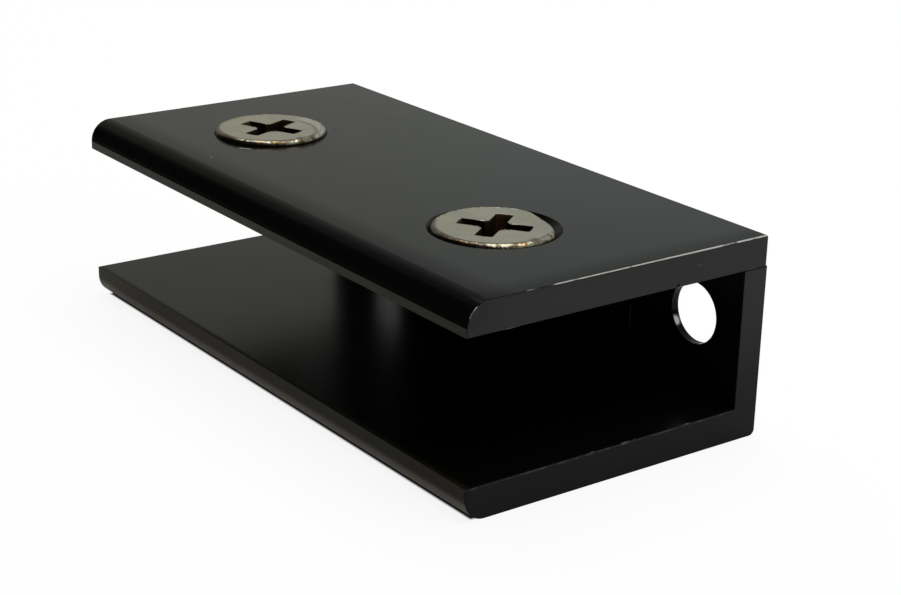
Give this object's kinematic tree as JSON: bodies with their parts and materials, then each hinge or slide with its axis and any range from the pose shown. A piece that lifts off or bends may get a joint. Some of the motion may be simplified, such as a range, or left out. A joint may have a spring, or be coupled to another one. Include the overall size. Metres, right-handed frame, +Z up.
{
  "type": "shelf clip",
  "caption": "Black U-channel shelf clip with countersunk cross-recess screws in its upper leg and fixing holes through its web.",
  "frame": {"origin": "under the middle of the block, on the face it stands on", "axes": "+X along the channel, the mouth faces -Y, the fixing face is +Y, +Z up through both legs"},
  "size_m": [0.0508, 0.0254, 0.0152],
  "materials": {
    "black_body": "black anodised, satin",
    "screw_plating": "nickel plated, semi-bright"
  },
  "bodies": {
    "root": {"channel": "black_body", "screw_left": "screw_plating", "screw_right": "screw_plating"}
  },
  "joints": []
}
